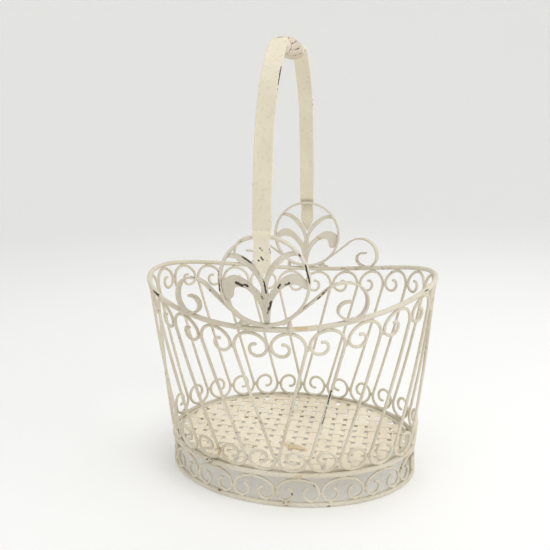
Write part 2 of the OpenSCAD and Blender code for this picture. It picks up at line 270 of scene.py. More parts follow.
def sweep(points, refs, section, closed=False, scales=None, domed=True):
    """Vertices and faces of a section swept along points. Open ends are domed over."""
    points = np.asarray(points, float)
    n, m = len(points), len(section)
    scales = np.ones((n, 2)) if scales is None else np.asarray(scales, float)
    if closed:
        tangent = unit(np.roll(points, -1, 0) - np.roll(points, 1, 0))
    else:
        tangent = unit(np.gradient(points, axis=0))
    u = unit(refs - np.sum(refs * tangent, axis=1, keepdims=True) * tangent)
    v = np.cross(tangent, u)
    if not closed and domed:
        reach = min(np.abs(section).max(0)) * 0.9
        bends = [math.radians(a) for a in (75, 50, 25)]
        for end, sign in ((0, -1), (-1, 1)):
            extra = [
                (points[end] + sign * tangent[end] * reach * math.sin(b), scales[end] * math.cos(b))
                for b in bends
            ]
            # The cap's rings run outward from the end, so those before the start are reversed.
            extra = extra if sign < 0 else extra[::-1]
            p = np.array([e[0] for e in extra])
            s = np.array([e[1] for e in extra])
            k = len(extra)
            parts = [
                (p, points), (np.repeat(u[[end]], k, 0), u),
                (np.repeat(v[[end]], k, 0), v), (s, scales),
            ]
            if sign > 0:
                parts = [pair[::-1] for pair in parts]
            points, u, v, scales = [np.concatenate(pair) for pair in parts]
        n = len(points)
    ring = (
        section[None, :, 0, None] * u[:, None, :] * scales[:, None, 0, None]
        + section[None, :, 1, None] * v[:, None, :] * scales[:, None, 1, None]
    )
    verts = (points[:, None, :] + ring).reshape(-1, 3)
    i = np.arange(n if closed else n - 1)[:, None]
    j = np.arange(m)[None, :]
    a, b = i * m + j, ((i + 1) % n) * m + j
    c, d = ((i + 1) % n) * m + (j + 1) % m, i * m + (j + 1) % m
    faces = np.stack([a, b, c, d], axis=-1).reshape(-1, 4).tolist()
    if not closed:
        faces.append(list(range(m)))
        faces.append([(n - 1) * m + k for k in range(m - 1, -1, -1)])
    return verts, faces


def joined(shapes):
    verts, faces, start = [], [], 0
    for v, f in shapes:
        verts.append(v)
        faces += [[k + start for k in face] for face in f]
        start += len(v)
    return np.concatenate(verts), faces


# ---- Wear and painted shade: where the paint is chipped, rusted or grimy, and where shade is painted as dark lines ----

# Each row is the two ends of a mark on the basket's surface, its half width and its strength.
CHIPS_AND_SHADE_LINES = [
    # the handle's leaf end
    ((-1, -153, 330), (0, -153, 329.5), 0.8, 0.9), ((4, -153, 327.5), (5, -153, 327), 0.8, 0.8),
    ((-2.2, -153, 323.7), (0.7, -153, 321.4), 0.9, 1.6), ((8, -153, 322.5), (8.6, -153, 321.5), 0.9, 1.4),
    ((9.4, -152, 320), (9, -152, 318.5), 0.9, 1.3), ((-4.6, -153, 311.4), (-2.9, -153, 310.4), 0.8, 1.5),
    ((-0.7, -153, 314), (1, -153, 311.2), 1.0, 1.6), ((5, -153, 311), (5.6, -153, 310), 0.8, 1.3),
    ((1, -153, 306.5), (0.4, -153, 305), 0.9, 0.9),
    # the handle's bars
    ((13.3, -101.6, 503), (13, -117.2, 484), 0.7, 1.5), ((12.8, -119.2, 481), (12.5, -125.8, 470), 0.6, 1.2),
    ((12, -67, 532), (12, -67.6, 531.5), 0.8, 1.5), ((13, -75.5, 525), (13, -76, 524.5), 0.8, 1.5),
    ((-10, -97.2, 508), (-10, -106.5, 498), 0.4, 0.7), ((-10, -112.9, 490), (-10, -121.1, 478), 0.4, 0.6),
    ((-10, -132.6, 456), (-10, -138.7, 438), 0.4, 0.6), ((-10, -145, 405), (-10, -147, 388), 0.4, 0.6),
    ((10, -149.5, 372), (10, -149.5, 345), 0.5, 0.9),
    # the front palmette
    ((-21.4, -147.5, 312.9), (-11.5, -147.5, 305.9), 0.8, 1.6),
    ((-6.2, -147.5, 300.4), (-3.5, -147.5, 295.7), 0.8, 1.4),
    ((3.7, -147.5, 300.4), (1.7, -147.5, 295.1), 0.8, 1.4),
    ((-0.2, -147.5, 289.7), (2.7, -147.5, 274.8), 0.7, 1.6),
    ((-2.5, -147.5, 270.8), (-0.6, -147.5, 268.3), 0.9, 1.4),
    ((7.7, -147.5, 266), (5.1, -147.5, 256.6), 0.8, 1.6),
    ((15.6, -147.5, 281.6), (17.6, -147.5, 284.9), 0.8, 1.4),
    ((24.2, -147.5, 284.9), (27.5, -147.5, 287), 0.7, 1.3),
    ((-29.5, -147.5, 285.2), (-22.7, -147.5, 282), 1.1, 1.7),
    ((-20.5, -147.5, 283.2), (-16.8, -147.5, 281.6), 0.9, 1.4),
    ((-8.8, -147.5, 281.6), (-8.2, -147.5, 281), 0.8, 1.1),
    ((-8.8, -147.5, 277.5), (-7.2, -147.5, 276.4), 0.8, 1.2),
    ((9, -147.5, 289), (8.3, -147.5, 281.6), 0.6, 0.9), ((7.7, -147.5, 278.5), (8, -147.5, 278), 0.7, 1.0),
    # the front hoop: chips, and a painted shade line down its left outer edge
    ((38, -149.5, 317), (39, -149.5, 316), 0.9, 1.3), ((44.6, -149.5, 306), (48.9, -149.5, 288), 1.0, 1.7),
    ((-48, -149.5, 300), (-47.5, -149.5, 276), 0.6, 1.1), ((-24, -149.5, 329), (-22, -149.5, 330), 0.8, 1.0),
    # the rim: chips, and a painted shadow line on its front-lower side, where the wall scrolls' tops meet it
    ((146, -85, 254), (175, -52, 262), 0.7, 1.3), ((-170, -62, 263), (-167, -67, 261), 1.3, 1.3),
    ((-155, -82, 257), (-139, -98, 253), 0.8, 1.3), ((57, -143, 239), (60, -142, 239), 1.0, 1.3),
    ((53, 137, 238), (62, 135, 239), 0.9, 1.0), ((86, 131, 246), (90, 129, 246), 1.1, 1.0),
    # the front side scrolls
    ((56, -143, 269), (66, -139, 280), 0.8, 1.4), ((66, -139, 280), (75, -135, 284), 0.7, 1.2),
    ((86, -129, 285), (88, -128, 285), 0.9, 1.2), ((-80, -134, 286), (-98, -124, 283), 0.8, 1.3),
    ((-61, -142, 274), (-62, -142, 270), 1.0, 1.1),
    # the wall
    ((-135, -94, 225), (-136, -94, 223), 1.3, 1.2), ((-165, -49, 201), (-165, -49, 199), 1.2, 1.0),
    ((32, -129, 160), (22, -122, 124), 1.0, 1.5), ((68, -122, 158), (58, -117, 117), 0.9, 1.3),
    # the foot band
    ((-95, -93, 12), (-90, -94, 8), 0.9, 1.2), ((19, -115, 20), (23, -114, 17), 0.9, 1.3),
    ((45, -111, 31), (49, -110, 27), 0.9, 1.4), ((56, -109, 27), (58, -108, 23), 0.9, 1.2),
    ((27, -116, 3), (29, -116, 3), 1.0, 1.2), ((63, -107, 2), (66, -106, 2), 1.0, 1.2),
    ((-76, -101, 5), (-72, -103, 5), 0.8, 0.9),
]
RUSTS = [
    ((119, 106, 253), (127, 104, 254), 2.5, 1.2), ((15, 145, 284), (19, 145, 281), 2.5, 1.2),
    ((35, -146, 238), (43, -145, 238), 2.2, 1.1), ((17, -148, 238), (20, -148, 238), 1.8, 0.8),
    ((25, -113, 42), (32, -112, 42), 1.5, 1.0), ((-62, -122, 150), (-37, -108, 65), 0.8, 0.9),
    ((-25, -128, 157), (-6, -118, 92), 0.8, 0.9), ((-4, -42, 42), (14, -46, 43), 6, 0.9),
    ((12, -47, 43), (24, -52, 43), 5, 0.8), ((-72, -102, 63), (-72, -102, 55), 2, 1.2),
    ((8, 46, 529), (9, 50, 527), 4, 1.1),
]


def marks(verts, rows):
    total = np.zeros(len(verts))
    for start, end, width, strength in rows:
        start, end = np.array(start, float), np.array(end, float)
        way = end - start
        share = np.clip((verts - start) @ way / (way @ way), 0, 1)
        gap2 = np.sum((verts - start - share[:, None] * way) ** 2, axis=1)
        total = np.maximum(total, strength * np.exp(-gap2 / (2 * width**2)))
    return total


def face_outward(mesh):
    bm = bmesh.new()
    bm.from_mesh(mesh)
    bmesh.ops.recalc_face_normals(bm, faces=bm.faces)
    bm.to_mesh(mesh)
    bm.free()


def piece(name, shape, material, nodes=(), chip_and_shade=None, smooth=40):
    """Makes the mesh in metres, marks its wear and its painted shade, and lets it ride on the basket's one
    body.
    """
    verts, faces = shape
    mesh = bpy.data.meshes.new(name)
    mesh.from_pydata((verts / METRE).tolist(), [], faces)
    mesh.validate()
    face_outward(mesh)
    for label, values in (
        ("chip_and_shade", marks(verts, CHIPS_AND_SHADE_LINES) if chip_and_shade is None else np.maximum(chip_and_shade, marks(verts, CHIPS_AND_SHADE_LINES))),
        ("rust", marks(verts, RUSTS)),
    ):
        layer = mesh.attributes.new(label, "FLOAT", "POINT")
        layer.data.foreach_set("value", values.astype(np.float32))
    mesh.shade_smooth()
    mesh.set_sharp_from_angle(angle=math.radians(smooth))
    mesh.materials.append(material)
    obj = bpy.data.objects.new(name, mesh)
    bpy.context.scene.collection.objects.link(obj)
    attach(obj, "root")
    if nodes:
        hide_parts(*nodes)
    return obj


# ---- Materials ----


def painted(name, light, dark, chip_bias=0.0, rust_bias=0.0, rough=0.62, lumps=0.00035):
    """Worn cream paint: uneven colour, chips down to dark iron, ochre rust and brushed lumps. Marked painted
    shade is darkened the same way as a chip.
    """
    mat = bpy.data.materials.new(name)
    mat.use_nodes = True
    tree = mat.node_tree
    nodes, links = tree.nodes, tree.links
    shader = nodes["Principled BSDF"]
    place = nodes.new("ShaderNodeTexCoord").outputs["Object"]

    def noise(scale, detail=2.0, roughness=0.5):
        n = nodes.new("ShaderNodeTexNoise")
        n.inputs["Scale"].default_value = scale
        n.inputs["Detail"].default_value = detail
        n.inputs["Roughness"].default_value = roughness
        links.new(place, n.inputs["Vector"])
        return n.outputs["Fac"]

    def math_node(kind, a, b, c=None):
        n = nodes.new("ShaderNodeMath")
        n.operation = kind
        for socket, value in zip(n.inputs, (a, b, c)):
            if value is None:
                continue
            if isinstance(value, (int, float)):
                socket.default_value = value
            else:
                links.new(value, socket)
        return n.outputs[0]

    def ramp(value, low, high):
        n = nodes.new("ShaderNodeMapRange")
        n.interpolation_type = "SMOOTHSTEP"
        n.inputs["From Min"].default_value = low
        n.inputs["From Max"].default_value = high
        links.new(value, n.inputs["Value"])
        return n.outputs["Result"]

    def mix(factor, a, b):
        n = nodes.new("ShaderNodeMix")
        n.data_type = "RGBA"
        links.new(factor, n.inputs["Factor"])
        for socket, value in ((n.inputs[6], a), (n.inputs[7], b)):
            if isinstance(value, tuple):
                socket.default_value = (*value, 1)
            else:
                links.new(value, socket)
        return n.outputs[2]

    def attribute(label):
        n = nodes.new("ShaderNodeAttribute")
        n.attribute_name = label
        return n.outputs["Fac"]

    patches = noise(16, 3)
    grain = noise(240, 3)
    spots = noise(420, 4, 0.6)
    regions = noise(34, 2)
    # Chips show where fine spots and broad worn regions meet, and more at the marked places. Some marked
    # places are painted shade, darkened like chips.
    wear_and_shade = math_node("MULTIPLY_ADD", spots, 0.55, math_node("MULTIPLY", regions, 0.45))
    wear_and_shade = math_node("MULTIPLY_ADD", attribute("chip_and_shade"), 0.2, wear_and_shade)
    chip_and_shade = ramp(wear_and_shade, 0.655 - chip_bias, 0.675 - chip_bias)
    halo = ramp(wear_and_shade, 0.60 - chip_bias, 0.67 - chip_bias)
    rust = math_node("MULTIPLY_ADD", noise(95, 3), 0.5, math_node("MULTIPLY", noise(21, 1), 0.5))
    rust = math_node("MULTIPLY_ADD", attribute("rust"), 0.32, rust)
    rust = ramp(rust, 0.66 - rust_bias, 0.74 - rust_bias)
    cream = mix(ramp(patches, 0.35, 0.68), light, dark)
    cream = mix(math_node("MULTIPLY", ramp(grain, 0.5, 0.75), 0.22), cream, (0.46, 0.40, 0.30))
    tint = mix(math_node("MULTIPLY", halo, 0.35), cream, (0.42, 0.32, 0.20))
    tint = mix(math_node("MULTIPLY", rust, 0.6), tint, (0.55, 0.42, 0.19))
    colour = mix(chip_and_shade, tint, (0.055, 0.042, 0.034))
    links.new(colour, shader.inputs["Base Color"])
    roughness = math_node("MULTIPLY_ADD", grain, 0.22, rough - 0.11)
    roughness = math_node("MULTIPLY_ADD", math_node("MAXIMUM", chip_and_shade, rust), 0.2, roughness)
    links.new(roughness, shader.inputs["Roughness"])
    shader.inputs["Specular IOR Level"].default_value = 0.35

    height = math_node("MULTIPLY_ADD", noise(150, 3), 0.6, math_node("MULTIPLY", noise(620, 2), 0.25))
    height = math_node("MULTIPLY_ADD", chip_and_shade, -0.5, height)
    bump = nodes.new("ShaderNodeBump")
    bump.inputs["Strength"].default_value = 0.7
    bump.inputs["Distance"].default_value = lumps
    links.new(height, bump.inputs["Height"])
    links.new(bump.outputs["Normal"], shader.inputs["Normal"])
    return mat


CREAM = (0.71, 0.66, 0.545)
CREAM_DARK = (0.63, 0.57, 0.45)
RING_PAINT = painted("ring_paint", CREAM, CREAM_DARK, chip_bias=0.012)
WIRE_PAINT = painted("wire_paint", CREAM, CREAM_DARK, chip_bias=0.008)
# The woven floor's paint is the same cream made lighter: painted light.
FLOOR_PAINT_LIT = painted("floor_paint_lit", (0.89, 0.81, 0.655), (0.81, 0.725, 0.57), 0.004, 0.0)
# The flat bars' paint is the same cream made a little darker: painted shade.
BAR_PAINT_SHADED = painted("bar_paint_shaded", (0.68, 0.63, 0.525), (0.61, 0.555, 0.45), chip_bias=0.008)
# The handle strap's paint is the same cream made lighter: painted light.
STRAP_PAINT_LIT = painted("strap_paint_lit", (0.79, 0.725, 0.575), (0.72, 0.65, 0.505), -0.02, -0.03)
GRIP_PAINT = painted("grip_paint", (0.72, 0.635, 0.52), (0.62, 0.53, 0.42), 0.0, 0.0)


# ---- Rings ----


def ring(oval, low, rise, r, seed):
    n = round(oval.length / 2.6)
    shares = np.arange(n) / n
    xy = oval.at(shares)
    z = low + rise * (xy[:, 0] / oval.a) ** 2
    points = np.concatenate([xy, z[:, None]], axis=1)
    refs = np.tile(UP, (n, 1))
    # The paint is a little thicker in some places. It never reaches past the frame's ring.
    scale = 0.985 + wobble(shares, seed, 0.012, 1 / 23)
    return sweep(points, refs, round_section(r, 16), True, np.stack([scale, scale], axis=1))


HOOP = Oval(BASE_A - HOOP_INSET, BASE_B - HOOP_INSET)
piece("painted_foot_ring", ring(BASE, FOOT_Z, 0, RING_R, 1), RING_PAINT, ["foot_ring"])
piece("painted_floor_ring", ring(BASE, FLOOR_Z, 0, RING_R, 2), RING_PAINT, ["floor_ring"])
piece("painted_floor_hoop", ring(HOOP, FLOOR_Z, 0, HOOP_R, 3), RING_PAINT, ["floor_hoop"])
piece("painted_rim_ring", ring(RIM, RIM_Z, RIM_RISE, RING_R, 4), RING_PAINT, ["rim_ring"])


# ---- Woven floor ----

STRIP_PITCH = 15.5
STRIP_W = 10.0
STRIP_T = 1.2


def half_span(a, b, across):
    """Half the length of the oval's chord at that distance from its long axis."""
    return a * math.sqrt(max(0.0, 1 - (across / b) ** 2))


def strips(rows, along_x):
    shapes = []
    for i in range(-rows, rows + 1):
        across = i * STRIP_PITCH
        edge = abs(across) + STRIP_W / 2
        a, b = (HOOP.a, HOOP.b) if along_x else (HOOP.b, HOOP.a)
        reach = half_span(a, b, edge) if edge < b else 0
        if reach < 12:
            continue
        n = math.ceil(reach / 0.9)
        s = np.linspace(-reach, reach, n)
        wave = STRIP_T / 2 * np.cos(math.pi * s / STRIP_PITCH + math.pi * (i + (0 if along_x else 1)))
        drift = across + wobble(s, 100 + i + (50 if along_x else 0), 0.25, 160)
        z = FLOOR_Z + wave
        points = np.stack([s, drift, z] if along_x else [drift, s, z], axis=1)
        refs = np.tile(UP, (n, 1))
        width = 1 + wobble(s, 300 + i + (50 if along_x else 0), 0.02, 45)
        scales = np.stack([np.ones(n), width], axis=1)
        shapes.append(sweep(points, refs, flat_section(STRIP_T, STRIP_W, 0.5), False, scales))
    return joined(shapes)


LONG_ROWS = int((HOOP.b - HOOP_R - 0.3 - STRIP_W / 2 - 3) // STRIP_PITCH)
CROSS_ROWS = int((HOOP.a - HOOP_R - 0.3 - STRIP_W / 2 - 3) // STRIP_PITCH)
piece("painted_floor_strips_long", strips(LONG_ROWS, True), FLOOR_PAINT_LIT, ["floor_strips_long"])
piece(
    "painted_floor_strips_cross", strips(CROSS_ROWS, False), FLOOR_PAINT_LIT,
    ["floor_strips_cross"],
)


# ---- Scrolls ----


def wire(points, refs, seed):
    along = np.concatenate([[0], np.cumsum(np.linalg.norm(np.diff(points, axis=0), axis=1))])
    scale = 0.99 + wobble(along, seed, 0.03, 70)
    return sweep(points, refs, round_section(SCROLL_R, 12), False, np.stack([scale, scale], axis=1))


BAND_TOP = FLOOR_Z - RING_R - SCROLL_R - WELD_GAP
BAND_BOTTOM = FOOT_Z + RING_R + SCROLL_R + WELD_GAP
BAND_HALF = BASE.length / BAND_COUNT / 2 - SCROLL_R - WELD_GAP
CROWN_ARC = 34.0
CROWN_TURN = 30.0
SHOULDER_R = (BAND_HALF - CROWN_ARC * math.sin(math.radians(CROWN_TURN))) / (
    1 - math.sin(math.radians(CROWN_TURN))
)
CURL_OUT_R = (
    BAND_TOP - BAND_BOTTOM - CROWN_ARC * (1 - math.cos(math.radians(CROWN_TURN)))
    - SHOULDER_R * math.cos(math.radians(CROWN_TURN))
)
C_HALF = path((0, BAND_TOP), 0, [
    (CROWN_ARC, CROWN_TURN), (SHOULDER_R, 90 - CROWN_TURN), (CURL_OUT_R, 90), (9, 110), (6.5, 60),
])


def on_band(k, flat):
    shares = (k + 0.5) / BAND_COUNT + flat[:, 0] / BASE.length
    return np.concatenate([BASE.at(shares), flat[:, 1:]], axis=1), outward(shares)


for k in range(BAND_COUNT):
    flat = np.concatenate([mirror(C_HALF)[::-1], C_HALF[1:]])
    name = f"band_scroll_{k + 1:02d}"
    piece("painted_" + name, wire(*on_band(k, flat), 400 + k), WIRE_PAINT, [name])

TOP_ARC_R = 19.5
FOOT_ARC_R = 15.9
TOP_CURL = (12.2, 7.8, 6)
FOOT_CURL = (13.4, 8.6, 6.6)
TOP_SHIFT = 0.4
WALL_SHIFT = 3.0


def curl(r, slant, radii):
    s = math.radians(slant)
    steps = [(r, 150 + slant), (radii[0], 120), (radii[1], 120), (radii[2], 70)]
    return path((-r * math.cos(s), -r * math.sin(s)), 90 + slant, steps)


def s_scroll(low, high):
    top = np.array([TOP_SHIFT, high - WALL_HEAD - TOP_ARC_R])
    foot = np.array([0, low + FOOT_ARC_R])
    slant = math.degrees(math.asin((TOP_ARC_R + FOOT_ARC_R) / np.linalg.norm(top - foot)))
    upper = top + curl(TOP_ARC_R, slant, TOP_CURL)
    lower = foot - curl(FOOT_ARC_R, slant, FOOT_CURL)
    n = 30
    f = (np.arange(1, n) / n)[:, None]
    stem = (1 - f) * lower[0] + f * upper[0]
    return np.concatenate([lower[::-1], stem, upper])


class WallPlace:
    """Where the scroll k stands on the wall, and how its flat drawing is laid on the wall."""

    def __init__(self, k):
        self.side = -1 if (4 * k // WALL_COUNT) % 2 == 0 else 1
        self.middle = (k + 0.5) / WALL_COUNT + WALL_SHIFT / RIM.length
        self.high = rim_height(RIM.at(self.middle)[0]) - FLOOR_Z
        self.low = wall_foot(self.middle)

    def lay(self, flat):
        x, y = flat[:, 0], flat[:, 1]
        length = WALL.length + (RIM.length - WALL.length) * y / self.high
        shares = self.middle + self.side * x / length
        slope = rim_height(RIM.at(shares)[:, 0]) - FLOOR_Z - self.high
        return wall_at(shares, FLOOR_Z + y + slope * y / self.high), outward(shares)


places = [WallPlace(k) for k in range(WALL_COUNT)]
for k, place in enumerate(places):
    name = f"wall_scroll_{k + 1:02d}"
    points, refs = place.lay(s_scroll(place.low, place.high))
    piece("painted_" + name, wire(points, refs, 500 + k), WIRE_PAINT, [name])


# ---- Medallions, palmettes and side scrolls: flat bar on edge ----


def medal_point(rear, flat):
    """Flat x and y round the medallion's middle, as points on the basket."""
    turn = -1 if rear else 1
    y = np.full(len(flat), -turn * MEDAL_Y)
    return np.stack([turn * flat[:, 0], y, MEDAL_Z + flat[:, 1]], axis=1)


def bar_along(points, ref, depth, thickness, closed=False, seed=0, corner=0.55):
    along = np.concatenate([[0], np.cumsum(np.linalg.norm(np.diff(points, axis=0), axis=1))])
    scale = 0.99 + wobble(along, seed, 0.012, 60)
    refs = np.tile(ref, (len(points), 1)) if np.ndim(ref) == 1 else ref
    section = flat_section(depth, thickness, corner, spacing=1.2)
    return sweep(points, refs, section, closed, np.stack([np.ones_like(scale), scale], axis=1))


UPPER_LEAF = [
    (0.1, -47), (0.1, -30), (0.1, -8), (0.4, 0), (2, 6), (5, 12.5), (10.5, 20), (19, 27), (27, 30.5),
    (33, 31), (39, 29.5), (39, 27), (33, 26.5), (26, 24.5), (18.5, 18.5), (11.5, 11), (7, 4),
    (4, -3), (2.4, -10), (1.9, -20), (1.6, -47),
]
DROOPING_LEAF = [
    (1.8, -47), (2.0, -34), (2.2, -20), (4.5, -13), (9.5, -7), (17, 0), (25, 6), (33, 8), (41, 5.5),
    (48, 0), (48, -12), (42, -17.5), (36, -18), (34, -14), (33.5, -8), (30, -4.5), (24, -5),
    (17, -8.6), (9.8, -17.5), (5.8, -27), (3.9, -36), (3, -47),
]
ARCHED_LEAF = [
    (1.8, -47), (2.0, -34), (2.2, -20), (4.5, -13), (9.5, -7), (16, 0), (22, 5), (28, 7.3), (34, 7.6),
    (40, 4.8), (46, -1.5), (48, -4), (48, -9.5), (42, -8.5), (37.5, -5.2), (33, -3.7), (28, -4),
    (22, -5.8), (17, -9.3), (9.8, -17.5), (5.8, -27), (3.9, -36), (3, -47),
]
# The paint fills the seams between the leaves' stems up to just below their faces.
STEM = [
    (-3.0, -44), (-2.4, -24), (-4.0, -13), (-3.0, -6), (-1.0, 0), (0, 1.5), (1.0, 0), (3.0, -6),
    (4.0, -13), (2.4, -24), (3.0, -44),
]
SEAM_DEPTH = 0.35
PALM_TILT = math.radians(3)
LEAF_BEVEL = 0.45


def rounded(outline, times):
    """Cuts the outline's corners, so that it becomes a smooth curve."""
    points = np.array(outline, float)
    for _ in range(times):
        after = np.roll(points, -1, 0)
        points = np.stack([0.75 * points + 0.25 * after, 0.25 * points + 0.75 * after], axis=1)
        points = points.reshape(-1, 2)
    return points


def filled(outline, spacing=1.1):
    """Triangles that fill an outline, with a grid of points inside to carry the wear."""
    n = len(outline)
    low, high = outline.min(0), outline.max(0)
    grid = np.stack(np.meshgrid(*[np.arange(a, b, spacing) for a, b in zip(low, high)]), axis=-1)
    grid = grid.reshape(-1, 2)
    ends = np.roll(outline, -1, 0)
    inside = np.zeros(len(grid), bool)
    gap = np.full(len(grid), np.inf)
    for p, q in zip(outline, ends):
        crosses = (p[1] > grid[:, 1]) != (q[1] > grid[:, 1])
        if p[1] != q[1]:
            x = p[0] + (grid[:, 1] - p[1]) * (q[0] - p[0]) / (q[1] - p[1])
            inside ^= crosses & (grid[:, 0] < x)
        gap = np.minimum(gap, np.linalg.norm(grid - p, axis=1))
    grid = grid[inside & (gap > 0.6 * spacing)]
    points = [Vector(p) for p in np.concatenate([outline, grid])]
    edges = [(i, (i + 1) % n) for i in range(n)]
    found, _, triangles, *_ = delaunay_2d_cdt(points, edges, [], 1, 1e-7)
    return np.array([p[:] for p in found]), [list(t) for t in triangles]


def leaf(outline, side, rear, sunk=0.0):
    """One forged leaf with rounded edges. Its faces are sunk below those of the frame's plate."""
    thickness = PALM_T - 2 * sunk
    points = rounded(outline, 2) * [side, 1]
    c, s = math.cos(PALM_TILT), math.sin(PALM_TILT)
    points = points @ np.array([[c, s], [-s, c]])
    reach = np.linalg.norm(points, axis=1)
    limit = MEDAL_R - MEDAL_T / 2 - WELD_GAP
    points *= np.minimum(1, limit / np.maximum(reach, 1e-6))[:, None]
    if side < 0:
        points = points[::-1]
    tangent = unit(np.roll(points, -1, 0) - np.roll(points, 1, 0))
    inward = np.stack([-tangent[:, 1], tangent[:, 0]], axis=1)
    area = np.sum(points[:, 0] * np.roll(points[:, 1], -1) - points[:, 1] * np.roll(points[:, 0], -1))
    if area < 0:
        inward = -inward
    layers = []
    for i in range(4):
        a = math.radians(30 * i)
        layers.append((LEAF_BEVEL * (1 - math.cos(a)), thickness / 2 - LEAF_BEVEL * (1 - math.sin(a))))
    layers.append((LEAF_BEVEL + 0.12, thickness / 2))
    layers = [(inset, -z) for inset, z in layers[::-1]] + layers
    verts, n = [], len(points)
    for inset, z in layers:
        flat = points + inward * inset
        placed = medal_point(rear, flat)
        placed[:, 1] += (1 if rear else -1) * z
        verts.append(placed)
    faces = [
        [i * n + j, i * n + (j + 1) % n, (i + 1) * n + (j + 1) % n, (i + 1) * n + j]
        for i in range(len(layers) - 1) for j in range(n)
    ]
    top = (len(layers) - 1) * n
    flat, cap = filled(flat)
    inner = flat[n:]
    for z, start in ((-thickness / 2, 0), (thickness / 2, top)):
        at = sum(map(len, verts))
        placed = medal_point(rear, inner)
        placed[:, 1] += (1 if rear else -1) * z
        verts.append(placed)
        faces += [[start + j if j < n else at + j - n for j in t] for t in cap]
    return np.concatenate(verts), faces


SIDE_PATH = path((20, 6.5), 36, [
    (0, 56), (26, 36), (33, 35), (27, 45), (17, 70), (13.5, 30), (20, 55), (8, 95), (9, 35), (0, 5),
], step=1.0)

for rear, word in ((False, "front"), (True, "rear")):
    face = np.array([0.0, 1.0 if rear else -1.0, 0.0])
    a = np.arange(300) * 2 * math.pi / 300
    circle = medal_point(rear, MEDAL_R * np.stack([np.cos(a), np.sin(a)], axis=1))
    shape = bar_along(circle, face, MEDAL_W, MEDAL_T, True, 600 + rear)
    piece(f"painted_medallion_{word}", shape, BAR_PAINT_SHADED, [f"medallion_{word}"])
    shapes = [leaf(UPPER_LEAF, side, rear) for side in (-1, 1)]
    shapes += [leaf(DROOPING_LEAF, -1, rear), leaf(ARCHED_LEAF, 1, rear)]
    shapes.append(leaf(STEM, 1, rear, SEAM_DEPTH))
    piece(f"painted_palmette_{word}", joined(shapes), BAR_PAINT_SHADED, [f"palmette_{word}"])
    for side in (-1, 1):
        shares = (0.5 if rear else 0.0) + side * SIDE_PATH[:, 0] / RIM.length
        end = "left" if (side < 0) != rear else "right"
        xy = RIM.at(shares)
        z = rim_height(xy[:, 0]) + SIDE_PATH[:, 1]
        points = np.concatenate([xy, z[:, None]], axis=1)
        shape = bar_along(points, outward(shares), SIDE_W, SIDE_T, seed=620 + 2 * rear + side)
        name = f"side_scroll_{word}_{end}"
        piece("painted_" + name, shape, BAR_PAINT_SHADED, [name])


# ---- Handle ----

LEAF = [
    (0.4, -44), (1.6, -41.5), (3.6, -38), (5.8, -34.5), (7.6, -31), (8.8, -27), (9.3, -22),
    (9, -16), (8.4, -10), (8.2, -6), (8.6, -3.5), (10, -1.5), (10, 0.8),
]
HOOP_TOP = MEDAL_Z + MEDAL_OUT


def bar_rows():
    """Distance from the middle, height, angle of the outer face, and half width."""
    halves, heights = np.array(LEAF).T
    leaf_z = np.linspace(heights[0], heights[-1], 60)
    rows = [(LEAF_Y, HOOP_TOP + z, 0.0, np.interp(z, heights, halves)) for z in leaf_z]
    top = HOOP_TOP + heights[-1]
    for f in np.linspace(0, 1, 8)[1:]:
        rows.append((LEAF_Y - JOGGLE * f, top + JOGGLE_H * f, 0.0, STRAP_W / 2))
    for a in np.linspace(0, MEET, 70):
        rows.append((
            SIDE_CURVE_R * math.cos(a) - CURVE_Y, SPRING_Z + SIDE_CURVE_R * math.sin(a), a, STRAP_W / 2,
        ))
    for a in np.linspace(MEET, LEG_END, 160)[1:]:
        # The bar's end is rounded off where it meets the grip.
        short = max(0.0, 1 - (LEG_END - a) * UPPER_R / END_ROUND)
        half = STRAP_W / 2 * (END_SHARE + (1 - END_SHARE) * math.sqrt(1 - short**2))
        rows.append((UPPER_R * math.cos(a) - CROSS_OVER, UPPER_Z + UPPER_R * math.sin(a), a, half))
    return np.array(rows)


def lean(v):
    c, s = math.cos(LEAN), math.sin(LEAN)
    return np.stack([v[:, 0] * c + v[:, 2] * s, v[:, 1], v[:, 2] * c - v[:, 0] * s], axis=1)


def tipped(p):
    """The handle's top, turned about the grip's middle. The turn fades out lower down."""
    share = np.clip((p[:, 2] - SPRING_Z - TIP_FROM) / (GRIP_Z - SPRING_Z - TIP_FROM), 0, 1)
    c, s, z = np.cos(TIP * share), np.sin(TIP * share), p[:, 2] - GRIP_Z
    return np.stack([p[:, 0], p[:, 1] * c - z * s, GRIP_Z + p[:, 1] * s + z * c], axis=1)


def lean_points(p):
    spring = np.array([0, 0, SPRING_Z])
    return np.where((p[:, 2] <= SPRING_Z)[:, None], p, spring + lean(tipped(p) - spring))


rows = bar_rows()
zero = np.zeros(len(rows))
sizes = np.stack([zero + 1, 2 * rows[:, 3] / STRAP_W], axis=1)
section = flat_section(STRAP_T, STRAP_W, 0.8, 3, spacing=1.0)
for side, word in ((-1, "front"), (1, "rear")):
    points = lean_points(np.stack([zero, side * rows[:, 0], rows[:, 1]], axis=1))
    faces = lean(np.stack([zero, side * np.cos(rows[:, 2]), np.sin(rows[:, 2])], axis=1))
    bar = sweep(points, faces, section, False, sizes, domed=False)
    name = f"handle_bar_{word}"
    piece("painted_" + name, bar, STRAP_PAINT_LIT, [name], edge_wear(bar[0], section, 0.22))

FLUTES = 8
FLUTE_DEPTH = 0.09
GRIP_TWIST = 0.9
BODY_TO = 0.62
COLLAR_R = 8.8
NECK_R = 8.0


def grip_size(t):
    e = abs(t)
    if e > BODY_TO:
        return NECK_R + (COLLAR_R - NECK_R) * math.sin(math.pi * (e - BODY_TO) / (1 - BODY_TO))
    return max(NECK_R, GRIP_R * math.sqrt(1 - 0.5 * (e / BODY_TO) ** 5))


